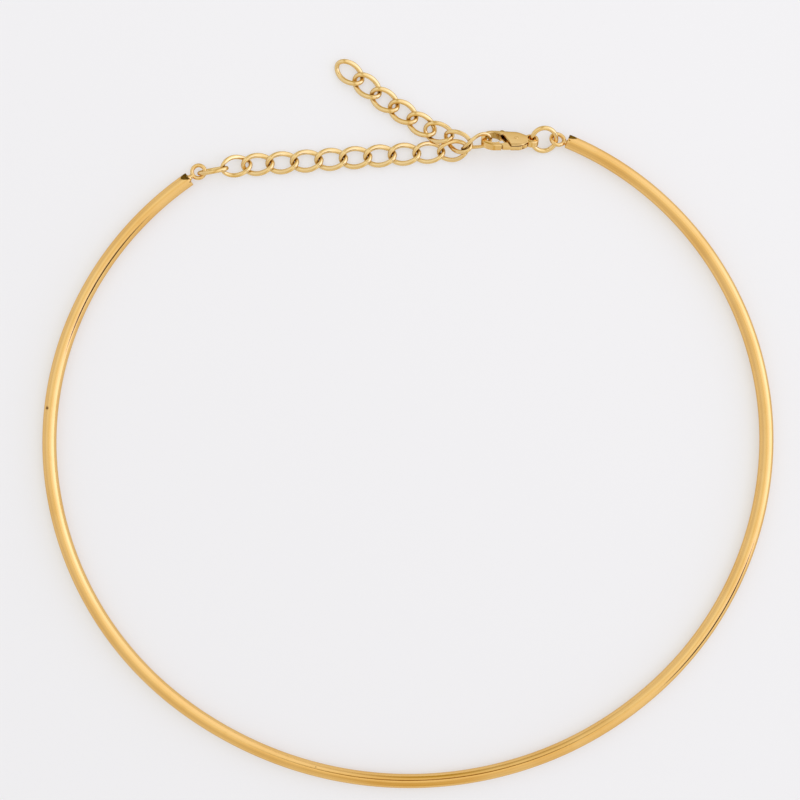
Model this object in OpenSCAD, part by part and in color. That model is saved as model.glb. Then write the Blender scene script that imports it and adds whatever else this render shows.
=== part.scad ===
// A rigid wire collar, closed at the back by an extender chain and a lobster clasp.
// The collar lies flat: +Z is up, its front is towards -Y, and the chain is at +Y.
// The origin is at the middle of the whole outline, on the surface that it lies on.

/* [Collar wire] */
// Diameter of the round wire
wire_d = 2.5; // [2.4:0.05:2.6]
// Radius of the front arc, to the middle of the wire
front_r = 66.6; // [66.2:0.1:67]
// Half of the angle that the front arc spans
front_half_angle = 39.5; // [38.5:0.5:40.5]
// Radius of the two side arcs
side_r = 59; // [58.8:0.1:59.2]
// Angle from the front at which the side arcs end
side_end_angle = 86; // [84:1:88]
// Radius of the two back arcs
back_r = 56.7; // [56.5:0.1:56.9]
// Angle from the front at which the left end is
left_end_angle = 147.8; // [147.6:0.1:148]
// Angle from the front at which the right end is
right_end_angle = 156.2; // [156:0.1:156.4]
// Length of the slanted nip on the outer side of the left end
left_nip = 1; // [0.6:0.1:1.2]
// Length of the slanted nip on the outer side of the right end
right_nip = 1.5; // [1:0.1:1.6]

/* [Soldered end eyes] */
// Thickness of an eye's wire
eye_wire_d = 0.64; // [0.6:0.02:0.66]
// Outer diameter of an eye
eye_d = 3; // [2.95:0.05:3.05]
// Distance from the left end to the middle of its eye
left_eye_reach = 2.03; // [2:0.01:2.06]
// Distance from the right end to the middle of its eye
right_eye_reach = 1.68; // [1.65:0.01:1.71]
// Roll of the left eye about the wire
left_eye_roll = 9; // [7:1:11]
// Roll of the right eye about the wire
right_eye_roll = 30; // [28:1:32]

/* [Chain links] */
// Outer length of a link
link_l = 5.92; // [5.88:0.02:5.96]
// Outer width of a link
link_w = 3.92; // [3.82:0.02:3.92]
// Thickness of a link's wire
link_wire_d = 0.68; // [0.62:0.02:0.68]
// Width of the pressed wire along a link's sides
link_side_w = 0.8; // [0.7:0.02:0.84]
// Thickness of the pressed wire along a link's sides
link_side_t = 0.62; // [0.58:0.02:0.66]
// How far the twist lifts and lowers a link's sides
link_twist = 0.45; // [0.43:0.01:0.46]
// How much the link narrows towards its ends
link_narrow = 0.12; // [0.08:0.02:0.16]
// Distance from one flat link to the next
main_pitch = 4.365; // [4.355:0.005:4.37]
// Outer length of the plain oval link at the left eye
end_link_l = 5.7; // [5.65:0.05:5.75]
// Outer width of the plain oval link at the left eye
end_link_w = 3.8; // [3.75:0.05:3.85]

/* [Jump ring] */
// Outer diameter of the jump ring
ring_d = 5.12; // [5.1:0.02:5.14]
// Thickness of its wire
ring_wire_d = 0.74; // [0.7:0.02:0.76]
// Tilt of the ring, with its back side raised
ring_tilt = 31.6; // [31:0.1:32.2]

/* [Clasp] */
// Length of the clasp from its tail ring to its hook
clasp_l = 10.2; // [10.1:0.05:10.2]
// Width of the clasp across the hook
clasp_w = 4.4; // [4.3:0.05:4.4]
// Thickness of the clasp at the middle
clasp_t = 1.5; // [1.45:0.05:1.55]
// Tilt of the clasp about its length, with the gate side raised
clasp_tilt = 48; // [46:1:50]
// Thickness of the lever between the cheeks
lever_t = 0.66; // [0.62:0.02:0.68]
// Diameter of the rivet
pin_d = 0.7; // [0.65:0.05:0.75]
// How far the lever is turned open
lever_open = 0; // [0:1:28]

/* [Hidden] */

gold = [0.83, 0.64, 0.30];
pale_gold = [0.90, 0.76, 0.46];

// Centres of the side and back arcs of the right half, from the middle of the front arc
side_x = (front_r - side_r) * sin(front_half_angle);
side_y = -(front_r - side_r) * cos(front_half_angle);
back_x = side_x + (side_r - back_r) * sin(side_end_angle);
back_y = side_y - (side_r - back_r) * cos(side_end_angle);

// Middle of an eye's wire from the middle of its hole, and the height of the wire's middle
eye_r = (eye_d - eye_wire_d) / 2;
axis_z = wire_d / 2;
// Number of steps along the wire, and of sides round it
wire_rings = 100;
wire_round = 20;

// Outer length, outer width, twist and narrowing of both kinds of link, and the width and
// thickness that their wire has along the sides
curb = [link_l, link_w, link_twist, link_narrow, link_side_w, link_side_t];
plain = [end_link_l, end_link_w, 0, 0, link_wire_d, link_wire_d];
// Number of rings round a link, and of sides round its wire
link_rings = 16;
wire_sides = 6;
// Height of a link that lies flat on its twisted sides
flat_z = link_twist + link_wire_d / 2 + 0.04;

// Places of the links, from the middle of the front arc: [x, y, z, heading, pitch, roll].
// Pitch raises a link's front end, and roll raises its left side.
end_link_place = [-32.97, 43.044, 1.83, 7, 9.2, -65.9];
first_link_place = [-28.85, 43.82, 1.38, 11.2, -17.3, 0.8];
main_start = [-29.41, 43.86];
last_link_place = [9.81, 45.18, 1.38, 6.6, 14.6, 8.3];
hook_link_place = [13.92, 46.3, 2.39, 20.4, 13, 58.7];
main_heading = 2;
tail_places = [
    [10.67, 46.65, 2.2, 147, -18.8, -23],
    [7.33, 48.46, 1.3, 157.4, -16.3, 2.9],
    [4.35, 50.05, flat_z, 145, 0, 0],
    [1.15, 52.4, flat_z, 145, 0, 0],
    [-2.05, 54.65, flat_z, 143, 0, 0],
    [-5.1, 57.25, flat_z, 139, 0, 0],
    [-8.15, 59.75, flat_z, 141, 0, 0]];

ring_r = (ring_d - ring_wire_d) / 2;
ring_at = [25.905, 46.507, 1.55];
ring_heading = 7;

// The clasp is drawn flat about the middle of its tail ring: its hook is towards +X,
// its gate towards +Y, and its two faces up and down
clasp_at = [23.75, 46.45, 1.72];
clasp_heading = 178;
clasp_pitch = 5.9;
tail_ring_r = 1.2;
tail_hole_r = 0.7;
hook_x = clasp_l - clasp_w / 2 - tail_ring_r;
claw_r = clasp_w / 2 - 0.8;
house = [2.9, 0.1];
house_r = 2;
// Both faces slope down towards the hook and the tail, so many degrees
end_slope = 3.8;
pivot = [2.8, 0.2];
// The gate's end and the hook's tip are cut round the pivot, a hair apart
mouth_r = 3.42;
gate_r = mouth_r - 0.08;
slot_t = lever_t + 0.14;
dome_r = 9;

// The whole outline reaches from the front of the wire to the tip of the tail
tail_tip = [for (i = [0 : link_rings - 1], j = [0 : wire_sides - 1])
    link_corner(curb, i * 360 / link_rings, j * 360 / wire_sides)
    * [sin(tail_places[6][3]), cos(tail_places[6][3]), 0]];
outline_front = -(front_r + wire_d / 2);
outline_back = tail_places[6][1] + max(tail_tip);
arc_y = -(outline_front + outline_back) / 2;

function unit(v) = v / norm(v);

// Middle of the wire where it has turned by angle a from the front, to the right or the left
function wire_middle(a) =
    let(out = [sin(a), -cos(a)], right = sign(a))
    abs(a) < front_half_angle ? [front_r * out.x, front_r * out.y, axis_z]
    : abs(a) < side_end_angle ? [right * side_x + side_r * out.x, side_y + side_r * out.y, axis_z]
    : [right * back_x + back_r * out.x, back_y + back_r * out.y, axis_z];

// Corner of the wire's section at angle u
function wire_corner(a, u) =
    wire_middle(a) + wire_d / 2 * [cos(u) * sin(a), -cos(u) * cos(a), sin(u)];

// Middle line of a link: an oval that narrows to its ends and twists as it goes round
function link_point(link, t) = [
    (link[0] - link_wire_d) / 2 * cos(t),
    (link[1] - link_wire_d) / 2 * sin(t) * (1 - link[3] * pow(cos(t), 2)),
    -link[2] * sin(2 * t)];

function link_direction(link, t) = unit(link_point(link, t + 0.5) - link_point(link, t - 0.5));

// Size of the wire at angle t, from its round ends to its pressed sides
function wire_size(side_size, t) = link_wire_d + (side_size - link_wire_d) * pow(sin(t), 2);

// Corner of the wire's section at angle u, where the middle line is at angle t
function link_corner(link, t, u) =
    let(along = link_direction(link, t), side = unit(cross(along, [0, 0, 1])), up = cross(side, along))
    link_point(link, t) + wire_size(link[4], t) / 2 * cos(u) * side
        + wire_size(link[5], t) / 2 * sin(u) * up;

module at_arc_centre() {
    translate([0, arc_y, 0])
        children();
}

module wire_link(link) {
    points = [for (i = [0 : link_rings - 1], j = [0 : wire_sides - 1])
        link_corner(link, i * 360 / link_rings, j * 360 / wire_sides)];
    function at(i, j) = (i % link_rings) * wire_sides + j % wire_sides;
    faces = [for (i = [0 : link_rings - 1], j = [0 : wire_sides - 1], half = [0, 1])
        half == 0 ? [at(i, j), at(i + 1, j + 1), at(i + 1, j)]
                  : [at(i, j), at(i, j + 1), at(i + 1, j + 1)]];
    polyhedron(points = points, faces = faces, convexity = 6);
}

// A link at its place, turned to its heading, raised at its front by pitch, and rolled
module placed_link(place, link = curb) {
    color(pale_gold)
        at_arc_centre()
            translate([place[0], place[1], place[2]])
                rotate([0, 0, place[3]])
                    rotate([0, -place[4], 0])
                        rotate([place[5], 0, 0])
                            wire_link(link);
}

module main_link(k) {
    step = k * main_pitch;
    placed_link([main_start.x + step * cos(main_heading), main_start.y + step * sin(main_heading),
        flat_z, main_heading, 0, 0]);
}

module ring_of_wire(radius, thickness) {
    rotate_extrude($fn = 64)
        translate([radius, 0])
            circle(d = thickness, $fn = 32);
}

// The whole wire in one piece, swept from its left end to its right end
module wire() {
    step = (left_end_angle + right_end_angle) / wire_rings;
    points = [for (i = [0 : wire_rings], j = [0 : wire_round - 1])
        wire_corner(i * step - left_end_angle, j * 360 / wire_round)];
    last = wire_rings * wire_round;
    left_face = [for (j = [wire_round - 1 : -1 : 0]) j];
    right_face = [for (j = [0 : wire_round - 1]) last + j];
    sides = [for (i = [0 : wire_rings - 1], j = [0 : wire_round - 1])
        let(near = i * wire_round, far = near + wire_round, next = (j + 1) % wire_round)
        [near + j, near + next, far + next, far + j]];
    polyhedron(points = points, faces = concat([left_face, right_face], sides), convexity = 6);
}

// Frame at the end of the right half: +X goes on along the wire, -Y is its outer side
module at_wire_end(end_angle) {
    translate(wire_middle(end_angle))
        rotate([0, 0, end_angle])
            children();
}

// The slanted cut on the outer upper corner of an end, seen from above as a small triangle
module end_nip(length, turn) {
    lean = 27;
    translate([-length, -wire_d / 2, 0])
        rotate([0, 0, turn])
            rotate([-lean, 0, 0])
                translate([-wire_d * 2, -wire_d * 2, -wire_d * 2])
                    cube([wire_d * 4, wire_d * 2, wire_d * 4]);
}

module end_eye(reach, roll) {
    neck_d = 0.9;
    rotate([roll, 0, 0])
        translate([reach, 0, 0])
            ring_of_wire(eye_r, eye_wire_d);
    translate([-0.2, 0, 0])
        rotate([0, 90, 0])
            cylinder(d = neck_d, h = reach - eye_r + 0.2, $fn = 24);
}

module collar() {
    color(gold)
        at_arc_centre() {
            difference() {
                wire();
                at_wire_end(right_end_angle)
                    end_nip(right_nip, 17);
                mirror([1, 0, 0])
                    at_wire_end(left_end_angle)
                        end_nip(left_nip, 28);
            }
            at_wire_end(right_end_angle)
                end_eye(right_eye_reach, right_eye_roll);
            mirror([1, 0, 0])
                at_wire_end(left_end_angle)
                    end_eye(left_eye_reach, left_eye_roll);
        }
}

module jump_ring() {
    color(pale_gold)
        at_arc_centre()
            translate(ring_at)
                rotate([ring_tilt, 0, ring_heading])
                    ring_of_wire(ring_r, ring_wire_d);
}

module at_clasp() {
    at_arc_centre()
        translate(clasp_at)
            rotate([0, 0, clasp_heading])
                rotate([0, -clasp_pitch, 0])
                    rotate([clasp_tilt, 0, 0])
                        children();
}

// What the two domed faces leave of a flat cutting of the clasp
module between_domes(depth) {
    intersection() {
        linear_extrude(height = depth, center = true)
            children();
        for (side = [-1, 1])
            translate([-clasp_l, 0, side * (clasp_t / 2 - dome_r)])
                rotate([0, 90, 0])
                    cylinder(r = dome_r, h = 3 * clasp_l, $fn = 180);
        for (side = [-1, 1], end = [-1, 1])
            translate([house.x, 0, side * clasp_t / 2])
                rotate([0, side * end * end_slope, 0])
                    translate([end > 0 ? -clasp_l : -2 * clasp_l, -clasp_l,
                        side > 0 ? -2 * clasp_l : 0])
                        cube([3 * clasp_l, 2 * clasp_l, 2 * clasp_l]);
    }
}

module clasp_outline() {
    neck_x = 1;
    neck_r = 0.8;
    circle(r = tail_ring_r, $fn = 48);
    hull() {
        translate([neck_x, 0])
            circle(r = neck_r, $fn = 32);
        translate(house)
            circle(r = house_r, $fn = 48);
    }
    hull() {
        translate(house)
            circle(r = house_r, $fn = 48);
        translate([hook_x, 0])
            circle(d = clasp_w, $fn = 48);
    }
}

// The open claw and its mouth, which the gate closes
module claw_opening() {
    translate([hook_x, 0])
        circle(r = claw_r, $fn = 48);
    intersection() {
        translate(pivot)
            circle(r = mouth_r, $fn = 96);
        polygon([[5, -0.9], [4.4, 0.6], [3.6, 3.2], [hook_x + 1, 3.2], [hook_x + 1, 0.3]]);
    }
}

// The slot between the cheeks, open to the gate's side and to the thumb nub's side
module lever_slot() {
    polygon([[0.7, 3.2], [0.7, 0.2], [1.6, -0.9], [2.3, -3.2], [5.75, -3.2], [5.25, -1.5],
        [5.2, -0.7], [5.2, 3.2]]);
}

module clasp_body() {
    color(gold)
        at_clasp()
            difference() {
                between_domes(clasp_t) {
                    difference() {
                        clasp_outline();
                        claw_opening();
                        circle(r = tail_hole_r, $fn = 32);
                    }
                }
                linear_extrude(height = slot_t, center = true)
                    lever_slot();
                translate([pivot.x, pivot.y, -clasp_t])
                    cylinder(d = pin_d + 0.04, h = 2 * clasp_t, $fn = 32);
            }
}

module lever_outline() {
    hub_r = 0.75;
    hull() {
        translate(pivot)
            circle(r = hub_r, $fn = 32);
        translate([1.55, 1.3])
            circle(r = 0.45, $fn = 32);
    }
    intersection() {
        translate(pivot)
            circle(r = gate_r, $fn = 96);
        hull() {
            translate([2.6, 1.45])
                circle(r = hub_r, $fn = 32);
            translate([6.5, 1.95])
                circle(r = 0.4, $fn = 32);
        }
    }
    hull() {
        translate(pivot)
            circle(r = 0.6, $fn = 32);
        translate([4.85, -2])
            circle(r = 0.3, $fn = 32);
    }
    translate([5, -2.3])
        circle(r = 0.4, $fn = 32);
}

module clasp_lever() {
    color(pale_gold)
        at_clasp()
            translate(pivot)
                rotate([0, 0, -lever_open])
                    translate(-pivot)
                        difference() {
                            linear_extrude(height = lever_t, center = true)
                                lever_outline();
                            translate([pivot.x, pivot.y, -clasp_t])
                                cylinder(d = pin_d + 0.1, h = 2 * clasp_t, $fn = 32);
                        }
}

module clasp_pin() {
    color(gold)
        at_clasp()
            translate([pivot.x, pivot.y, 0])
                cylinder(d = pin_d, h = clasp_t, center = true, $fn = 32);
}

collar();
placed_link(end_link_place, plain);  // end_link
placed_link(first_link_place);
for (k = [1 : 8])
    main_link(k);
placed_link(last_link_place);
placed_link(hook_link_place);  // hook_link
for (k = [0 : 6])
    placed_link(tail_places[k]);
clasp_body();
clasp_lever();
clasp_pin();
jump_ring();
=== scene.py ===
# %% [markdown]
# # A gold wire collar on a white table
# The object is a rigid choker: one round wire, bent almost into a circle, with a small eye
# soldered to each end. A short curb chain hangs from the left eye, and a lobster clasp hangs
# from the right eye on a jump ring. The clasp holds a link of the chain, and the chain's last
# seven links lie free as a tail.
#
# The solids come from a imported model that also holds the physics. They are exact but plain:
# the wire has 20 flat sides, and the links have 6. This script makes the surfaces that a
# camera sees. It stays in the same frame, in metres, so nothing has to be fitted.

import math

import bmesh
import bpy
import numpy as np
from mathutils import Matrix, Vector
from mathutils.bvhtree import BVHTree


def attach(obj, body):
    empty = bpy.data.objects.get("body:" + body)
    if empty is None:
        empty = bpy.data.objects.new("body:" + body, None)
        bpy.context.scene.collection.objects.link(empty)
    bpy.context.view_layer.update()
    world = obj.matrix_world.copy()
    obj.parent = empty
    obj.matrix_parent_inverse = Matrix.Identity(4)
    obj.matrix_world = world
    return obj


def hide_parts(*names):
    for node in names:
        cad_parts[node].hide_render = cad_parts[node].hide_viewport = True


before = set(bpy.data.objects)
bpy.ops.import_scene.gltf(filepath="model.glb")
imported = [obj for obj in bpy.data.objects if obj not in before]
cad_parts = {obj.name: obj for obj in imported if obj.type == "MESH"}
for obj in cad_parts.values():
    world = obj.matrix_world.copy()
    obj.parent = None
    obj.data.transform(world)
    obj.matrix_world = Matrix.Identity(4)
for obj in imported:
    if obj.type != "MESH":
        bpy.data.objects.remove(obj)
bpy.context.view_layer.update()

# %% [markdown]
# ## The maker's measures
# A jeweller would work in millimetres, and so does this lesson. Each point is worked out in
# millimetres and turned into metres only when a mesh is made. The middle of every wire stays
# within a few tenths of a millimetre of where it is in the solids, because a dressed piece has
# to stay where the physics thinks it is. The thin wires are drawn up to 0.12 mm thicker. The
# solids need air between them, but real links touch.
#
# `_D` is an outer diameter, `_L` and `_W` are an outer length and width, and `_R` is the radius
# of an arc, to the middle of the wire. `ARC_Y` is how far the front arc's centre lies behind
# the origin, `AXIS_Z` is the height of the collar's axis, and `FLAT_Z` is the height of a link
# that lies flat. `ROUND` is how many sides the section of an eye or a ring has.

# %% Measures
MM = 0.001
WIRE_D = 2.5
FRONT_R, FRONT_HALF_ANGLE = 66.6, 39.5
SIDE_R, SIDE_END_ANGLE = 59.0, 86.0
BACK_R = 56.7
LEFT_END_ANGLE, RIGHT_END_ANGLE = 147.8, 156.2
EYE_WIRE_D, EYE_D = 0.70, 3.02
LINK_L, LINK_W, LINK_WIRE_D = 6.03, 4.04, 0.80
LINK_SIDE_W, LINK_SIDE_T = 0.90, 0.66
LINK_TWIST, LINK_NARROW = 0.45, 0.12
END_LINK_L, END_LINK_W, END_LINK_WIRE_D = 5.75, 3.85, 0.73
RING_D, RING_WIRE_D = 5.14, 0.82
CLASP_T = 1.5
ARC_Y = 2.8646
AXIS_Z = WIRE_D / 2
FLAT_Z = 0.83
ROUND = 20
print("thickness of the collar, a link, an eye and the ring:", WIRE_D, LINK_WIRE_D, EYE_WIRE_D, RING_WIRE_D)


# %% [markdown]
# ## Turning a piece in the hand
# Every small piece is drawn flat about its own middle, then turned to its heading, raised at
# one end and rolled about its length. Three turning matrices, multiplied in that order, do
# it. Keeping them as plain numbers, and not as object rotations, leaves each object at the
# origin with its place in its mesh, so that a material can use one set of coordinates for
# the whole choker.

# %% Turns
def turn(axis, degrees):
    return np.array(Matrix.Rotation(math.radians(degrees), 3, axis))


def pose(heading, pitch=0, roll=0):
    return turn("Z", heading) @ turn("Y", -pitch) @ turn("X", roll)


def placed(points, at, heading, pitch=0, roll=0):
    return np.asarray(points) @ pose(heading, pitch, roll).T + [at[0], at[1] + ARC_Y, at[2]]


# %% [markdown]
# ## Drawing wire
# Wire is what this object is made of, so one function draws all of it. It walks along a
# middle line and sets a ring of points at each step, square to the line. A curve object with
# a bevel would look the same, but its ends can't be filed or cut, and its section can't be
# pressed flatter along the way. The function also writes a UV map: U runs along the wire in
# millimetres and V runs round it, which lets the polish follow the wire's length.

# %% Wire
def wire_mesh(middle, wide, thick, sides, closed=False, up=(0.0, 0.0, 1.0)):
    count = len(middle)
    if closed:
        along = np.roll(middle, -1, 0) - np.roll(middle, 1, 0)
    else:
        along = np.gradient(middle, axis=0)
    along /= np.linalg.norm(along, axis=1)[:, None]
    side = np.cross(along, np.array(up))
    side /= np.linalg.norm(side, axis=1)[:, None]
    over = np.cross(side, along)
    half_wide = np.broadcast_to(wide, count)[:, None, None] / 2
    half_thick = np.broadcast_to(thick, count)[:, None, None] / 2
    angle = (np.arange(sides) * 2 * math.pi / sides)[None, :, None]
    ring = half_wide * np.cos(angle) * side[:, None] + half_thick * np.sin(angle) * over[:, None]
    points = (middle[:, None] + ring).reshape(-1, 3)
    steps = np.linalg.norm(np.roll(middle, -1, 0) - middle, axis=1)
    travelled = np.concatenate([[0.0], np.cumsum(steps)])
    shape = bmesh.new()
    verts = [shape.verts.new(p * MM) for p in points]
    uv = shape.loops.layers.uv.new("wire")
    for i in range(count if closed else count - 1):
        far = (i + 1) % count
        for j in range(sides):
            k = (j + 1) % sides
            corners = [i * sides + j, far * sides + j, far * sides + k, i * sides + k]
            face = shape.faces.new([verts[c] for c in corners])
            face.smooth = True
            places = [(i, j), (i + 1, j), (i + 1, j + 1), (i, j + 1)]
            for loop, (step, round_step) in zip(face.loops, places):
                loop[uv].uv = (travelled[step], round_step / sides)
    if not closed:
        for start, order in ((0, 1), (count - 1, -1)):
            shape.faces.new([verts[start * sides + j] for j in range(sides)][::order])
    bmesh.ops.recalc_face_normals(shape, faces=shape.faces)
    return shape


# %% [markdown]
# `finish_piece` turns a shape into an object. It says which body of the physics the piece
# rides on, and which solid it stands for. Every piece of the
# choker goes through it, so none can be forgotten when a joint moves.

# %% From shape to piece
def finish_piece(name, shape, body, slot, *nodes):
    mesh = bpy.data.meshes.new(name)
    shape.to_mesh(mesh)
    shape.free()
    piece = bpy.data.objects.new(name, mesh)
    bpy.context.scene.collection.objects.link(piece)
    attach(piece, body)
    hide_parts(*nodes)
    print(name, len(mesh.polygons), "faces")
    return piece


# %% [markdown]
# ## Shader maths as plain Python
# Gold is simple to name and hard to fake: what sells it is how the polish varies. Those
# variations are sums and products of patterns. Wiring them by hand takes a page of nodes, so
# the small class below wraps a socket and lets Python's own signs build the Math nodes.

# %% Sockets that can be added and multiplied
class Value:
    def __init__(self, finish, socket):
        self.finish = finish
        self.socket = socket

    def _math(self, operation, *parts):
        return self.finish.node("ShaderNodeMath", {"operation": operation}, dict(enumerate(parts)))

    def __add__(self, other):
        return self._math("ADD", self, other)

    def __radd__(self, other):
        return self._math("ADD", other, self)

    def __sub__(self, other):
        return self._math("SUBTRACT", self, other)

    def __rsub__(self, other):
        return self._math("SUBTRACT", other, self)

    def __mul__(self, other):
        return self._math("MULTIPLY", self, other)

    def __rmul__(self, other):
        return self._math("MULTIPLY", other, self)

    def __abs__(self):
        return self._math("ABSOLUTE", self)


# %% [markdown]
# A `Finish` is one material, or the room round the object. Its method `node` makes any node,
# and the methods after it are short names for the nodes that are used most. `clouds` is
# noise with soft forms. `steps` fades from nothing to full between two values of a pattern,
# so a pattern in steps, times a small number, is a faint and patchy change.

# %% One material
class Finish:
    def __init__(self, owner, output="ShaderNodeOutputMaterial"):
        self.owner = owner
        owner.use_nodes = True
        self.tree = owner.node_tree
        self.tree.nodes.clear()
        self.output = output

    def node(self, kind, settings=None, inputs=None, output=0):
        made = self.tree.nodes.new(kind)
        for key, value in (settings or {}).items():
            setattr(made, key, value)
        for key, value in (inputs or {}).items():
            if isinstance(value, Value):
                self.tree.links.new(value.socket, made.inputs[key])
            else:
                made.inputs[key].default_value = value
        return Value(self, made.outputs[output])

    def coordinates(self, which):
        return self.node("ShaderNodeTexCoord", output=which)

    def stretched(self, coordinates, scale):
        return self.node("ShaderNodeVectorMath", {"operation": "MULTIPLY"}, {0: coordinates, 1: scale})

    def dot(self, first, second):
        return self.node("ShaderNodeVectorMath", {"operation": "DOT_PRODUCT"}, {0: first, 1: second},
                         output="Value")

    def clouds(self, coordinates, scale, detail=3.0):
        return self.node("ShaderNodeTexNoise", {}, {"Vector": coordinates, "Scale": scale, "Detail": detail})

    def steps(self, value, low, high):
        return self.node("ShaderNodeMapRange", {"interpolation_type": "SMOOTHSTEP"},
                         {"Value": value, "From Min": low, "From Max": high})

    def tint(self, mask, under, over):
        return self.node("ShaderNodeMix", {"data_type": "RGBA"}, {0: mask, 6: under, 7: over}, output=2)

    def bump(self, height, strength, distance, under=None):
        inputs = {"Strength": strength, "Distance": distance, "Height": height}
        if under is not None:
            inputs["Normal"] = under
        return self.node("ShaderNodeBump", {}, inputs)

    def shown(self, shader):
        out = self.tree.nodes.new(self.output)
        self.tree.links.new(shader.socket, out.inputs["Surface"])
        return self.owner


# %% [markdown]
# ## Polished gold plating
# Three things are seen on real plated wire. The colour drifts a little, warmer where the
# plating is thin. The polish drifts too, in soft patches, and under them run very fine lines
# from drawing and buffing. And the surface isn't quite true, so reflections waver. The first
# two are noise in the base colour and the roughness, the third is a weak bump.
#
# Small brown spots sit where the plating has failed. They are balls of distance from chosen
# points, broken up with noise, so they stay small and keep ragged edges. The specular tint of a
# metal is its colour near the edge of a round form. On the thin wires a dark tint paints shade
# in there, standing in for the crevices round them that such wires mirror.
#
# The coordinates are metres, so a noise scale of 420 gives patches of about 2.4 mm. On the
# collar the lines are the same noise in the wire's own UV map, drawn out along it and pressed
# together round it. The small pieces have a fine grain instead. A bump has a strength and a
# height in metres.

# %% The gold
GOLD = (0.85, 0.545, 0.195, 1)
WARM_GOLD = (0.78, 0.45, 0.125, 1)
TARNISH = (0.20, 0.095, 0.028, 1)
# The olive brown below is painted shade, laid into crevices, gaps and the clasp's low rim.
SHADE_BROWN = (0.33, 0.185, 0.03, 1)
# The second rim tint is dark: it paints shade in at the edges of the thin wires.
SOFT_RIM, SHADED_RIM = (0.85, 0.75, 0.6), (0.5, 0.38, 0.2)
DRIFT_SCALE, PATCH_SCALE, RAGGED_SCALE, GRAIN_SCALE = 90.0, 420.0, 2600.0, 3200.0
LINE_SCALE, LINE_STRETCH = 1.6, (0.25, 60.0, 1.0)
WAVER_BUMP, GRAIN_BUMP = (0.05, 0.0002), (0.06, 0.00003)


def polished_gold(name, colour, warm, roughness, rim, lengthwise=False, spots=(), painted_shade=None):
    gold = Finish(bpy.data.materials.new(name))
    here = gold.coordinates("Object")
    drift = gold.clouds(here, DRIFT_SCALE, 2.0)
    patches = gold.clouds(here, PATCH_SCALE, 4.0)
    if lengthwise:
        lines = gold.clouds(gold.stretched(gold.coordinates("UV"), LINE_STRETCH), LINE_SCALE)
    else:
        lines = gold.clouds(here, GRAIN_SCALE)
    mask = gold.steps(drift, 0.42, 0.68) * 0.5 + gold.steps(patches, 0.55, 0.75) * 0.2
    shade = gold.tint(mask, colour, warm)
    rough = roughness + gold.steps(patches, 0.35, 0.75) * 0.06 + lines * 0.05
    for place, size, strength in spots:
        away = gold.node("ShaderNodeVectorMath", {"operation": "DISTANCE"}, {0: here, 1: place},
                         output="Value")
        ragged = away + (gold.clouds(here, RAGGED_SCALE, 4.0) - 0.5) * (size * 1.4)
        failed = (1 - gold.steps(ragged, size * 0.35, size)) * strength
        shade = gold.tint(failed, shade, TARNISH)
        rough = rough + failed * 0.3
    # Painted shade: where the mesh carries its shade number, the colour darkens towards an olive brown in
    # patches, and the polish dulls a little.
    if painted_shade:
        shaded = gold.node("ShaderNodeAttribute", {"attribute_name": painted_shade}, output="Fac")
        shade = gold.tint(shaded * (0.6 + 0.4 * gold.steps(patches, 0.35, 0.65)), shade, SHADE_BROWN)
        rough = rough + shaded * 0.1
    waver = gold.bump(patches, *WAVER_BUMP)
    grain = gold.bump(lines, *GRAIN_BUMP, waver)
    return gold.shown(gold.node("ShaderNodeBsdfPrincipled", {}, {
        "Base Color": shade, "Metallic": 1.0, "Roughness": rough, "Specular Tint": (*rim, 1),
        "Normal": grain}))


# %% [markdown]
# ## The collar's wire
# The real wire is cut from a coil, bent round a form and left springy. It isn't a true
# circle: the front is flatter than the sides, and each end turns in a little more. Three
# kinds of arc that meet without a corner describe it, and one angle, counted from the front
# and positive to the right, says where on them a point lies.

# %% Middle line of the wire
def wire_middle(degrees):
    side = math.copysign(1, degrees)
    out = np.array([math.sin(math.radians(degrees)), -math.cos(math.radians(degrees)), 0])
    turn_1, turn_2 = math.radians(FRONT_HALF_ANGLE), math.radians(SIDE_END_ANGLE)
    near = np.array([0.0, 0.0, AXIS_Z])
    if abs(degrees) < FRONT_HALF_ANGLE:
        return near + FRONT_R * out
    step = FRONT_R - SIDE_R
    near = near + [side * step * math.sin(turn_1), -step * math.cos(turn_1), 0]
    if abs(degrees) < SIDE_END_ANGLE:
        return near + SIDE_R * out
    step = SIDE_R - BACK_R
    near = near + [side * step * math.sin(turn_2), -step * math.cos(turn_2), 0]
    return near + BACK_R * out


# %% [markdown]
# The real wire wanders by up to four tenths of a millimetre from true arcs, where it was bent
# by hand. `wander` reads how far out it lies from a few places round it. It takes the mean
# over seven degrees to either side, so that no place shows as a corner.

# %% Hand bending
WANDER_ANGLES = [-147.8, -135, -120, -90, -60, -30, 0, 25, 45, 60, 105, 125, 140, 156.2]
WANDER_OUT = [-0.15, -0.22, -0.12, 0.04, 0.0, -0.1, 0.1, 0.28, 0.1, -0.02, -0.07, 0.03, 0.18, 0.38]
SMOOTH_OVER, SMOOTH_COUNT = 7.0, 15


def wander(degrees):
    nearby = degrees + np.linspace(-SMOOTH_OVER, SMOOTH_OVER, SMOOTH_COUNT)
    out = np.array([math.sin(math.radians(degrees)), -math.cos(math.radians(degrees)), 0])
    return out * np.interp(nearby, WANDER_ANGLES, WANDER_OUT).mean()


# %% [markdown]
# The two ends are cut square and barely rounded, so the last rings shrink by up to a tenth of
# a millimetre all round. The rings are close together, a little over half a millimetre apart,
# which keeps the outline and the reflections smooth at any distance.

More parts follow.
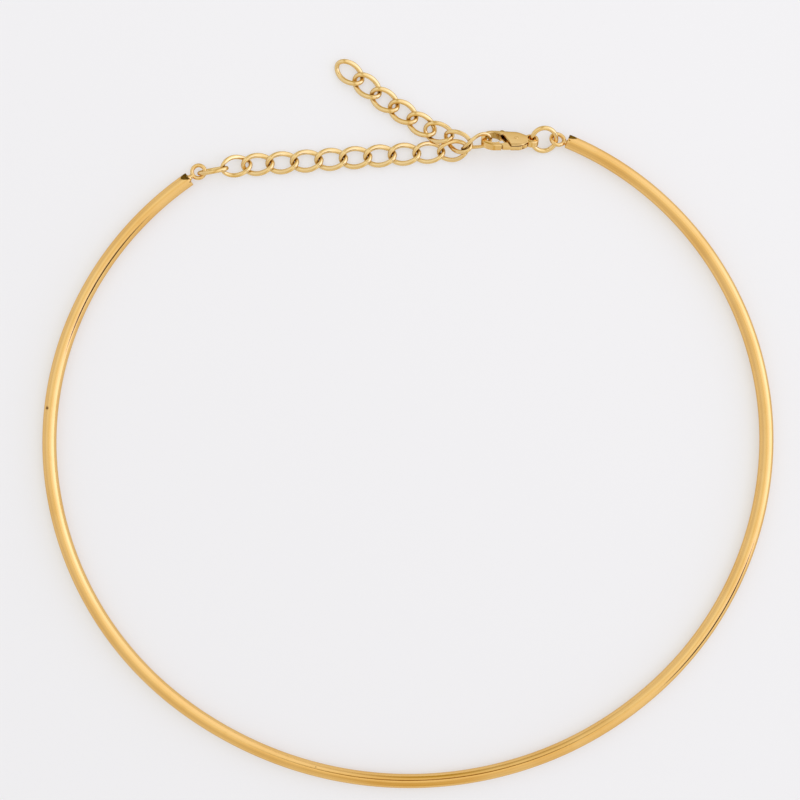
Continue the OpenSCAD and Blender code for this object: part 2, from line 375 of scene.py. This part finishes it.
# %% Sweep the wire
COLLAR_RINGS, COLLAR_ROUND = 560, 40
END_ROUNDING = 0.1
ROUNDING_PLACES = np.array([0.3, 0.6, 1.0])
ROUNDING_CUTS = np.array([1.0, 0.45, 0.15, 0.0])
angles = np.linspace(-LEFT_END_ANGLE, RIGHT_END_ANGLE, COLLAR_RINGS)
edge = np.degrees(ROUNDING_PLACES * END_ROUNDING / BACK_R)
angles = np.concatenate([angles[:1], angles[0] + edge, angles[1:-1], angles[-1] - edge[::-1],
                         angles[-1:]])
middle = np.array([wire_middle(a) + wander(a) for a in angles]) + [0, ARC_Y, 0]
width = np.full(len(angles), WIRE_D)
width[:4] -= 2 * END_ROUNDING * ROUNDING_CUTS
width[-4:] = width[:4][::-1]
collar_wire = wire_mesh(middle, width, width, COLLAR_ROUND)
length = np.linalg.norm(np.diff(middle, axis=0), axis=1).sum()
print("length of the wire:", round(float(length), 1), "mm")


# %% [markdown]
# ## Filed ends
# Each end has a slanted nip on its upper outer corner, left by the cutters and touched with a
# file. It shows as a small dark triangle. A plane slices the mesh, the offcut is thrown away,
# and the hole is closed with one flat face that gets a duller finish of its own. The plane
# leans outwards and meets the wire's outline just at its end, so the outline stays whole.
# The edges and points near the cut are listed in a fixed order, each once, so that every
# run gives the same mesh.

# %% Nips
RAW_CUT = 1
NIP_REACH = 4


def end_frame(degrees):
    hand = 1 if degrees > 0 else -1
    heading = degrees if degrees > 0 else degrees + 180
    return wire_middle(degrees), heading, hand


def nip(shape, degrees, length, lean):
    at, heading, hand = end_frame(degrees)
    lean = math.radians(lean)
    start_out = WIRE_D / 2 / math.cos(lean)
    flat = math.atan2(start_out - WIRE_D / 2, length)
    start = placed([-length, -hand * start_out, 0], at + wander(degrees), heading)
    facing = pose(heading) @ [math.sin(flat) * math.cos(lean), -hand * math.cos(flat) * math.cos(lean),
                              math.sin(lean)]
    corner = Vector(start * MM)
    near = [face for face in shape.faces
            if (face.calc_center_median() - corner).length < NIP_REACH * MM]
    edges = dict.fromkeys(edge for face in near for edge in face.edges)
    verts = dict.fromkeys(vert for face in near for vert in face.verts)
    cut = bmesh.ops.bisect_plane(shape, geom=near + list(edges) + list(verts), plane_co=start * MM,
                                 plane_no=facing, clear_outer=True)
    border = [part for part in cut["geom_cut"] if isinstance(part, bmesh.types.BMEdge)]
    for face in bmesh.ops.contextual_create(shape, geom=border)["faces"]:
        face.material_index = RAW_CUT


nip(collar_wire, RIGHT_END_ANGLE, length=1.5, lean=36)
nip(collar_wire, -LEFT_END_ANGLE, length=1.0, lean=47)
collar = finish_piece("collar_wire", collar_wire, "choker", "collar_gold", "collar")

# %% [markdown]
# The collar gets the gold with lines along it, and two brown specks, one at the far left and
# one at the front. Each speck is a place in metres, a size and a strength.

# %% The collar's gold
SPECKS = [((-0.0638, 0.0048, 0.0024), 0.00042, 1.0), ((-0.0184, -0.0605, 0.0024), 0.00022, 0.5)]
collar.data.materials.append(polished_gold("collar_gold", GOLD, WARM_GOLD, 0.06, SOFT_RIM,
                                           lengthwise=True, spots=SPECKS))

# %% [markdown]
# The file leaves fine marks on the cuts. They make them rough and uneven in colour, and much
# darker than the polished wire round them.

# %% Dull finish of a raw cut
CUT_DARK, CUT_LIGHT = (0.09, 0.045, 0.007, 1), (0.30, 0.18, 0.03, 1)
MARK_SCALE, MARK_STRETCH, MARK_BUMP = 1500.0, (1.0, 6.0, 1.0), (0.3, 0.00004)


def raw_cut():
    cut = Finish(bpy.data.materials.new("raw_cut"))
    here = cut.coordinates("Object")
    marks = cut.clouds(cut.stretched(here, MARK_STRETCH), MARK_SCALE, 4.0)
    shade = cut.tint(cut.steps(marks, 0.35, 0.7), CUT_DARK, CUT_LIGHT)
    return cut.shown(cut.node("ShaderNodeBsdfPrincipled", {}, {
        "Base Color": shade, "Metallic": 1.0, "Roughness": marks * 0.3 + 0.3,
        "Specular Tint": (*SHADED_RIM, 1), "Normal": cut.bump(marks, *MARK_BUMP)}))


collar.data.materials.append(raw_cut())


# %% [markdown]
# ## Soldered eyes
# An eye is a ring of thin wire, soldered to the end by a short neck. Solder runs into corners
# and leaves a soft fillet, which a plain cylinder doesn't have. So the neck is drawn as a
# wire too, one that starts wide inside the collar, narrows, and ends inside the ring's wire.
# Its stations are shares of the way from the collar's end to the ring.

# %% Eyes
def circle_line(radius, count, gap=0.0):
    angle = np.linspace(gap / 2, 2 * math.pi - gap / 2, count, endpoint=bool(gap))
    return np.stack([radius * np.cos(angle), radius * np.sin(angle), 0 * angle], 1)


EYE_GOLD = (0.87, 0.61, 0.26, 1)
EYE_RINGS, NECK_ROUND = 72, 24
NECK_STATIONS = np.array([-0.15, 0.0, 0.08, 0.2, 0.5, 0.75, 1.0])
NECK_WIDTHS = np.array([1.5, 1.36, 1.12, 0.96, 0.86, 0.8, 0.66])


def eye(name, degrees, reach, roll):
    at, heading, hand = end_frame(degrees)
    eye_r = (EYE_D - EYE_WIRE_D) / 2
    rolled = turn("X", hand * roll)
    line = placed(circle_line(eye_r, EYE_RINGS) @ rolled.T + [reach, 0, 0], at, heading)
    ring = wire_mesh(line, EYE_WIRE_D, EYE_WIRE_D, ROUND, closed=True,
                     up=pose(heading) @ rolled @ [0, 0, 1])
    stations = NECK_STATIONS * (reach - eye_r)
    line = placed(np.stack([stations, 0 * stations, 0 * stations], 1), at, heading)
    neck = wire_mesh(line, NECK_WIDTHS, NECK_WIDTHS, NECK_ROUND)
    for shape, kind in ((ring, "ring"), (neck, "solder")):
        piece = finish_piece(name + "_" + kind, shape, "choker", "collar_gold", "collar")
        piece.data.materials.append(eye_gold)


eye_gold = polished_gold("eye_gold", EYE_GOLD, WARM_GOLD, 0.1, SHADED_RIM)
eye("right_eye", RIGHT_END_ANGLE, reach=1.68, roll=30)
eye("left_eye", -LEFT_END_ANGLE, reach=2.03, roll=9)


# %% [markdown]
# ## Painted shade in the crevices
# Shade is painted in where two links touch, and shows as a small dark spot at each
# crossing. How near the next solid lies is asked of a search tree of its faces. Up to the
# first distance of a pair there is full painted shade, and from the second on there is none. The
# painted shade is written to the mesh as one number at each point, which the gold's finish reads.

# %% Painted shade in the crevices
LINK_SHADE, GAP_SHADE = (0.16, 0.52), (0.08, 0.36)


def smooth_step(value, low, high):
    t = np.clip((value - low) / (high - low), 0, 1)
    return t * t * (3 - 2 * t)


def nearness(mesh, other, near, far):
    faces = [tuple(face.vertices) for face in other.polygons]
    tree = BVHTree.FromPolygons([v.co for v in other.vertices], faces)
    found = [tree.find_nearest(v.co, far * MM)[3] for v in mesh.vertices]
    apart = np.array([far if d is None else d / MM for d in found])
    return 1 - smooth_step(apart, near, far)


def write_painted_shade(mesh, amount):
    painted_shade = mesh.attributes.new("painted_shade", "FLOAT", "POINT")
    painted_shade.data.foreach_set("value", amount)


# %% [markdown]
# ## Curb links
# A curb link starts as an oval ring that is gripped at both ends and twisted, so that a row
# of them lies flat. Its middle line is an oval that narrows to its ends and rises and falls
# twice on the way round. The finished chain is pressed, which leaves the wire wider and
# flatter along the sides than in the bows. Each ring was soldered shut before the chain was
# plated, so no seam shows, and the wire here closes on itself. The link at the left eye is an
# oval that was never twisted or pressed. Where links crowd, round the clasp and at the left
# eye, they are drawn a little slimmer, so that none cuts into the next by more than a hair.

# %% One link
CHAIN = (["end_link"] + [f"chain_link_{k:02d}" for k in range(1, 11)] + ["hook_link"]
         + [f"tail_link_{k}" for k in range(1, 8)])
CURB = (LINK_L, LINK_W, LINK_WIRE_D, LINK_TWIST, LINK_NARROW)
PLAIN = (END_LINK_L, END_LINK_W, END_LINK_WIRE_D, 0, 0)
LINK_RINGS, LINK_ROUND = 96, 16
CROWDED = 0.1


def link(name, at, heading, pitch=0, roll=0, slimmer=0.0, plain=False):
    t = np.linspace(0, 2 * math.pi, LINK_RINGS, endpoint=False)
    long, short, wire, twist, narrow = PLAIN if plain else CURB
    pressed = 0 if plain else np.sin(t) ** 2
    line = np.stack([(long - wire) / 2 * np.cos(t),
                     (short - wire) / 2 * np.sin(t) * (1 - narrow * np.cos(t) ** 2),
                     -twist * np.sin(2 * t)], 1)
    wide = wire + (LINK_SIDE_W - wire) * pressed - slimmer
    thick = wire + (LINK_SIDE_T - wire) * pressed - slimmer
    up = pose(heading, pitch, roll) @ [0, 0, 1]
    shape = wire_mesh(placed(line, at, heading, pitch, roll), wide, thick, LINK_ROUND, closed=True, up=up)
    piece = finish_piece(name + "_wire", shape, "choker", "chain_gold", name)
    piece.data.materials.append(chain_gold)
    # Painted shade: each point of the link darkens with its nearness to the links on either side.
    spot = CHAIN.index(name)
    neighbours = [CHAIN[k] for k in (spot - 1, spot + 1) if 0 <= k < len(CHAIN)]
    near = [nearness(piece.data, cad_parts[other].data, *LINK_SHADE) for other in neighbours]
    write_painted_shade(piece.data, np.max(near, axis=0))


CHAIN_GOLD = (0.87, 0.635, 0.29, 1)
CHAIN_WARM = (0.84, 0.56, 0.20, 1)
chain_gold = polished_gold("chain_gold", CHAIN_GOLD, CHAIN_WARM, 0.08, SHADED_RIM, painted_shade="painted_shade")

# %% [markdown]
# ## The chain as it lies
# Eight links lie flat on the table in a straight row. The link at the left eye stands nearly
# on edge, because an eye that lies flat can only hold a link that crosses it. At the other
# end the clasp lifts the chain: the link in its hook leans over, and its two neighbours
# slope down from it. The tail then drops back to the table.
#
# Each place is the x, y and z of a link's middle, seen from the front arc's centre, and then
# its heading, pitch and roll in degrees.

# %% Place the links
MAIN_START, MAIN_HEADING, MAIN_SPACING = (-29.41, 43.86), 2, 4.365
link("end_link", (-32.97, 43.044, 1.90), 7, 9.2, -76, plain=True)
link("chain_link_01", (-28.85, 43.82, 1.38), 11.2, -17.3, 0.8, CROWDED)
for k in range(1, 9):
    at = placed([k * MAIN_SPACING, 0, FLAT_Z], (*MAIN_START, 0), MAIN_HEADING) - [0, ARC_Y, 0]
    link(f"chain_link_{k + 1:02d}", at, MAIN_HEADING, slimmer=CROWDED if k == 8 else 0)
link("chain_link_10", (9.81, 45.18, 1.38), 6.6, 14.6, 8.3, CROWDED)
link("hook_link", (13.92, 46.3, 2.39), 20.4, 13, 65.5, CROWDED)
TAIL = [((10.67, 46.65, 2.2), 147, -18.8, -23, CROWDED),
        ((7.33, 48.46, 1.33), 157.4, -16.3, 2.9, CROWDED),
        ((4.35, 50.05, FLAT_Z), 145), ((1.15, 52.4, FLAT_Z), 145), ((-2.05, 54.65, FLAT_Z), 143),
        ((-5.1, 57.25, FLAT_Z), 139), ((-8.15, 59.75, FLAT_Z), 141)]
for k, place in enumerate(TAIL):
    link(f"tail_link_{k + 1}", *place)

# %% [markdown]
# ## The jump ring
# The ring that carries the clasp is thicker wire, opened sideways with two pliers and closed
# again. Its cut shows as a fine line, here on the side away from both the eye and the clasp.
# The gap is an angle in radians, and comes to about a hundredth of a millimetre.

# %% Jump ring
RING_PLACE = ((26.02, 46.59, 1.55), 11.4, 2.4, 29.6)
RING_RINGS, RING_GAP, GAP_HEADING = 128, 0.006, -75
opened = circle_line((RING_D - RING_WIRE_D) / 2, RING_RINGS, RING_GAP) @ turn("Z", GAP_HEADING).T
ring_up = pose(*RING_PLACE[1:]) @ [0, 0, 1]
ring_wire = wire_mesh(placed(opened, *RING_PLACE), RING_WIRE_D, RING_WIRE_D, ROUND, up=ring_up)
jump_ring = finish_piece("jump_ring_wire", ring_wire, "choker", "chain_gold", "jump_ring")
jump_ring.data.materials.append(polished_gold("ring_gold", CHAIN_GOLD, CHAIN_WARM, 0.08, SHADED_RIM))


# %% [markdown]
# ## The cast clasp
# The clasp's body and lever are castings, tumbled until no edge is sharp. The solid already
# has the right outline, slot and holes, with hard edges. For the body, a pillow-shaped block
# first trims the two faces so that they fall away softly to the outline and to the claw. The
# pillow's height comes from how deep a point lies inside the outline, which is made of pairs
# of discs with a hull between them. `RIM` is the share of the full height that is left at the
# outline itself.

# %% Depth inside the outline
CLASP_PLACE = ((23.75, 46.45, 1.72), 178, 5.9, 48)
DISCS = [((0, 0, 1.2), (0, 0, 1.2)), ((1, 0, 0.8), (2.9, 0.1, 2.0)), ((2.9, 0.1, 2.0), (6.8, 0, 2.2))]
CLAW = (6.8, 0, 1.4)
FACE_ROUNDING, CLAW_ROUNDING = 1.9, 0.4
RIM = 0.64
HULL_STEPS = 24
FAR_OUTSIDE = -9.0


def inside(x, y, disc):
    return disc[2] - np.hypot(x - disc[0], y - disc[1])


def rounded(depth, radius):
    return RIM + (1 - RIM) * np.sqrt(1 - (1 - np.clip(depth / radius, 0, 1)) ** 2)


def outline_depth(x, y):
    depth = np.full(x.shape, FAR_OUTSIDE)
    for first, last in DISCS:
        for s in np.linspace(0, 1, HULL_STEPS):
            depth = np.maximum(depth, inside(x, y, (1 - s) * np.array(first) + s * np.array(last)))
    return depth


# %% [markdown]
# The pillow is two sheets of points, one over the other, that are joined along the border.
# Its points are close together, so that the rounding has no flats.

# %% Pillow for the body
PILLOW_X, PILLOW_Y, PILLOW_STEP = (-1.6, 9.5), (-2.8, 2.9), 0.07


def pillow():
    x, y = np.meshgrid(np.arange(*PILLOW_X, PILLOW_STEP), np.arange(*PILLOW_Y, PILLOW_STEP), indexing="ij")
    depth = outline_depth(x, y)
    height = np.minimum(rounded(depth, FACE_ROUNDING), rounded(-inside(x, y, CLAW), CLAW_ROUNDING))
    height = height * CLASP_T / 2
    shape = bmesh.new()
    sheets = [[[shape.verts.new(p * MM) for p in row]
               for row in placed(np.stack([x, y, side * height], 2), *CLASP_PLACE)] for side in (-1, 1)]
    rows, columns = x.shape
    for sheet in sheets:
        for i in range(rows - 1):
            for j in range(columns - 1):
                shape.faces.new([sheet[i][j], sheet[i + 1][j], sheet[i + 1][j + 1], sheet[i][j + 1]])
    border = ([(i, 0) for i in range(rows)] + [(rows - 1, j) for j in range(1, columns)]
              + [(i, columns - 1) for i in range(rows - 2, -1, -1)]
              + [(0, j) for j in range(columns - 2, 0, -1)])
    under, over = sheets
    for (i, j), (next_i, next_j) in zip(border, border[1:] + border[:1]):
        shape.faces.new([under[i][j], under[next_i][next_j], over[next_i][next_j], over[i][j]])
    bmesh.ops.recalc_face_normals(shape, faces=shape.faces)
    mesh = bpy.data.meshes.new("pillow")
    shape.to_mesh(mesh)
    shape.free()
    return bpy.data.objects.new("pillow", mesh)


# %% [markdown]
# Two more things come from the depth inside the outline. The gate's side of the clasp is a
# little fuller than in the solid, so its points move outwards, most at the rim. And shade is
# painted in round the claw's hole, along the rim on the low side away from the gate,
# and in the gap between body and lever. Each pair in brackets is the
# stretch, in millimetres, over which an effect grows or fades.

# %% Fuller side and painted shade
FULLER, FULLER_DEPTH = 0.30, 1.2
GATE_SIDE, AWAY_FROM_TAIL = (-0.2, 1.4), (1.5, 3.0)
FAR_SIDE = (-1.2, -0.4)
RIM_SHADE, CLAW_SHADE = (0.02, 0.35), (0.02, 0.3)
EDGE_SHADE = 0.7
NUDGE = 0.01


def fuller_and_shaded(mesh, other):
    turned = pose(*CLASP_PLACE[1:])
    at = np.array(CLASP_PLACE[0]) + [0, ARC_Y, 0]
    points = np.empty(len(mesh.vertices) * 3)
    mesh.vertices.foreach_get("co", points)
    local = (points.reshape(-1, 3) / MM - at) @ turned
    x, y = local[:, 0], local[:, 1]
    depth = outline_depth(x, y)
    uphill = [outline_depth(x + NUDGE, y) - depth, outline_depth(x, y + NUDGE) - depth]
    slope = np.stack(uphill, 1) / NUDGE
    push = FULLER * (1 - smooth_step(depth, 0, FULLER_DEPTH)) * smooth_step(y, *GATE_SIDE)
    local[:, :2] -= push[:, None] * slope
    mesh.vertices.foreach_set("co", ((local @ turned.T + at) * MM).ravel())
    # Painted shade along the low rim, round the claw's hole and in the gap to the lever.
    rim = 1 - smooth_step(depth, *RIM_SHADE)
    rim = rim * (1 - smooth_step(y, *FAR_SIDE)) * smooth_step(x, *AWAY_FROM_TAIL)
    claw = 1 - smooth_step(-inside(x, y, CLAW), *CLAW_SHADE)
    gap = nearness(mesh, other, *GAP_SHADE)
    write_painted_shade(mesh, np.max([rim * EDGE_SHADE, claw * EDGE_SHADE, gap], axis=0))


# %% [markdown]
# Both castings are remeshed into small even squares and smoothed. That rounds every edge by
# the same small amount, as tumbling in a barrel does. The pillow trims the body before that.

# %% Tumble a casting
TUMBLING, TUMBLING_PASSES = 0.5, 6


def tumbled(name, node, other, body, square, trim=None):
    shape = bmesh.new()
    shape.from_mesh(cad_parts[node].data)
    piece = finish_piece(name, shape, body, "clasp_gold", node)
    if trim:
        bpy.context.scene.collection.objects.link(trim)
        cut = piece.modifiers.new("trim", "BOOLEAN")
        cut.operation, cut.object, cut.solver = "INTERSECT", trim, "EXACT"
    remesh = piece.modifiers.new("even_squares", "REMESH")
    remesh.mode = "VOXEL"
    remesh.voxel_size = square * MM
    soften = piece.modifiers.new("tumbling", "SMOOTH")
    soften.factor = TUMBLING
    soften.iterations = TUMBLING_PASSES
    depsgraph = bpy.context.evaluated_depsgraph_get()
    piece.data = bpy.data.meshes.new_from_object(piece.evaluated_get(depsgraph))
    piece.modifiers.clear()
    if trim:
        bpy.data.objects.remove(trim)
    piece.data.polygons.foreach_set("use_smooth", [True] * len(piece.data.polygons))
    fuller_and_shaded(piece.data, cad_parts[other].data)
    piece.data.materials.clear()
    piece.data.materials.append(clasp_gold)
    print(name, len(piece.data.polygons), "faces after tumbling")


clasp_gold = polished_gold("clasp_gold", EYE_GOLD, WARM_GOLD, 0.05, SHADED_RIM, painted_shade="painted_shade")
tumbled("clasp_body_cast", "clasp_body", "clasp_lever", "choker", square=0.045, trim=pillow())
tumbled("clasp_lever_cast", "clasp_lever", "clasp_body", "lever", square=0.04)

# %% [markdown]
# The rivet that the lever turns on is filed flush and burnished, so it is drawn a hair wider
# than its hole. It is one more wire, with a height and a width for each of its rings.

# %% Rivet
PIVOT, RIVET_ROUND = (2.8, 0.2), 24
RIVET_HEIGHTS = np.array([-0.765, -0.755, -0.72, -0.45, -0.4, 0.4, 0.45, 0.72, 0.755, 0.765])
RIVET_WIDTHS = np.array([0.4, 0.7, 0.78, 0.78, 0.64, 0.64, 0.78, 0.78, 0.7, 0.4])
along_pin = np.stack([0 * RIVET_HEIGHTS + PIVOT[0], 0 * RIVET_HEIGHTS + PIVOT[1], RIVET_HEIGHTS], 1)
rivet = wire_mesh(placed(along_pin, *CLASP_PLACE), RIVET_WIDTHS, RIVET_WIDTHS, RIVET_ROUND,
                  up=pose(*CLASP_PLACE[1:]) @ [1, 0, 0])
rivet = finish_piece("clasp_rivet", rivet, "choker", "clasp_gold", "clasp_pin")
rivet.data.materials.append(clasp_gold)


# %% [markdown]
# ## The table
# Small gold things are often shot on a light table, a white sheet lit a little from below. It
# keeps the shadows pale, and it fills the crevices of a chain with light. So the sheet glows
# by itself with less than half of its brightness, and gets the rest from the room. A trace of
# light is painted on it too, so that it is lighter towards the right and the back.

# %% Table
SHEET_SIZE, SHEET_GLOW, GLOW_COLOUR = 8.0, 0.42, (0.99, 0.99, 1.0, 1)
SHEET_DARK, SHEET_LIGHT = (0.45, 0.45, 0.44, 1), (0.49, 0.49, 0.48, 1)
PAPER_SCALE, PAINTED_LIGHT_RAMP = 14.0, (-0.16, 0.16)


def table_white():
    paper = Finish(bpy.data.materials.new("table_white"))
    here = paper.coordinates("Object")
    tone = paper.clouds(here, PAPER_SCALE)
    # Painted light: the sheet's colour rises a trace towards the right and the back.
    right_and_back = paper.dot(here, (1.0, 1.0, 0.0)) + (tone - 0.5) * 0.03
    shade = paper.tint(paper.steps(right_and_back, *PAINTED_LIGHT_RAMP), SHEET_DARK, SHEET_LIGHT)
    return paper.shown(paper.node("ShaderNodeBsdfPrincipled", {}, {
        "Base Color": shade, "Roughness": tone * 0.2 + 0.6, "Emission Color": GLOW_COLOUR,
        "Emission Strength": SHEET_GLOW}))


bpy.ops.mesh.primitive_plane_add(size=SHEET_SIZE, location=(0, 0, 0))
floor = bpy.context.object
floor.name = "table_top"
floor.data.materials.append(table_white())

# %% [markdown]
# ## The room
# A gold wire shows nothing of itself, only the room. So the room is described by how bright
# it looks in each direction: an even soft light everywhere, then a few soft patches that add
# or take light. Each patch has a direction, how near to it the patch starts, and a colour
# that it adds. A cool window stands to the right, and the back of the room is darker. A dark
# gap between two overhead lights runs from back to front, and deepens the colour of the wire
# at the front, which mirrors it. A lamp's stand and the camera are narrow and dark, and draw
# dark lines on the wire. The camera itself sees a plain pale backdrop.

# %% Soft light from the room
EVERYWHERE = (0.87, 0.86, 0.82)
PATCHES = {"window": ((0.80, 0.0, 0.60), 0.25, (0.20, 0.22, 0.33)),
           "middle_of_window": ((0.84, -0.05, 0.54), 0.80, (0.30, 0.32, 0.76)),
           "low_window": ((0.97, 0.15, 0.18), 0.80, (0.10, 0.18, 0.40)),
           "high_on_the_left": ((-0.30, 0.0, 0.95), 0.75, (0.15, 0.19, 0.27)),
           "back_of_the_room": ((-0.10, 0.99, 0.10), 0.80, (-0.30, -0.34, -0.44)),
           "right_and_back": ((0.69, 0.69, 0.20), 0.60, (0.13, 0.13, 0.23)),
           "front": ((-0.26, -0.86, 0.43), 0.30, (-0.10, -0.14, -0.19)),
           "low_on_the_left": ((-0.98, 0.10, 0.20), 0.40, (-0.09, -0.08, 0.02)),
           "above_the_front": ((-0.25, -0.30, 0.92), 0.85, (-0.12, -0.15, -0.20)),
           "lamp_stand": ((0.705, -0.49, 0.512), 0.968, (-1.9, -2.0, -2.1)),
           "the_camera": ((-0.02, 0.33, 0.944), 0.976, (-0.62, -0.72, -0.85))}
GAP_EDGE, GAP = (0.03, 0.20), (-0.10, -0.17, -0.34)
DARKEST = (0.05, 0.04, 0.02)
ROOM_STRENGTH = 1.06
BACKDROP = (0.86, 0.86, 0.87, 1)

world = bpy.data.worlds.new("room")
bpy.context.scene.world = world
room = Finish(world, "ShaderNodeOutputWorld")
towards = room.coordinates("Generated")


def lit(mask, colour, so_far):
    return room.node("ShaderNodeVectorMath", {"operation": "MULTIPLY_ADD"},
                     {0: mask, 1: colour, 2: so_far})


glow = EVERYWHERE
for middle_of_patch, start, colour in PATCHES.values():
    glow = lit(room.steps(room.dot(towards, middle_of_patch), start, 1.0), colour, glow)
sideways = abs(room.dot(towards, (1.0, 0.0, 0.0)))
glow = lit(1 - room.steps(sideways, *GAP_EDGE), GAP, glow)
glow = room.node("ShaderNodeVectorMath", {"operation": "MAXIMUM"}, {0: glow, 1: DARKEST})
lights = room.node("ShaderNodeBackground", {}, {"Color": glow, "Strength": ROOM_STRENGTH})
backdrop = room.node("ShaderNodeBackground", {}, {"Color": BACKDROP, "Strength": 1.0})
seen_directly = room.node("ShaderNodeLightPath", output="Is Camera Ray")
room.shown(room.node("ShaderNodeMixShader", {}, {0: seen_directly, 1: lights, 2: backdrop}))
print("room patches:", len(PATCHES) + 1)

# %% [markdown]
# ## The camera
# The camera looks straight down from a third of a metre, turned two degrees. Its distance
# follows from the lens and from how much of the table one pixel of the picture covers.

# %% Camera
PICTURE, PIXEL = 800, 0.178 * MM
CENTRE_X, CENTRE_Y = -1.19, 4.04
ROLL = -2.0
LENS, SENSOR = 85.0, 36.0
NEAREST = 0.01
camera = bpy.data.objects.new("camera", bpy.data.cameras.new("camera"))
camera.data.lens = LENS
camera.data.sensor_width = SENSOR
camera.location = (CENTRE_X * MM, CENTRE_Y * MM, PICTURE * PIXEL * LENS / SENSOR + AXIS_Z * MM)
camera.rotation_euler = (0, 0, math.radians(ROLL))
camera.data.clip_start = NEAREST
bpy.context.scene.collection.objects.link(camera)
bpy.context.scene.camera = camera
bpy.context.scene.view_settings.view_transform = "Standard"
print("height of the camera:", round(camera.location.z, 3), "m")
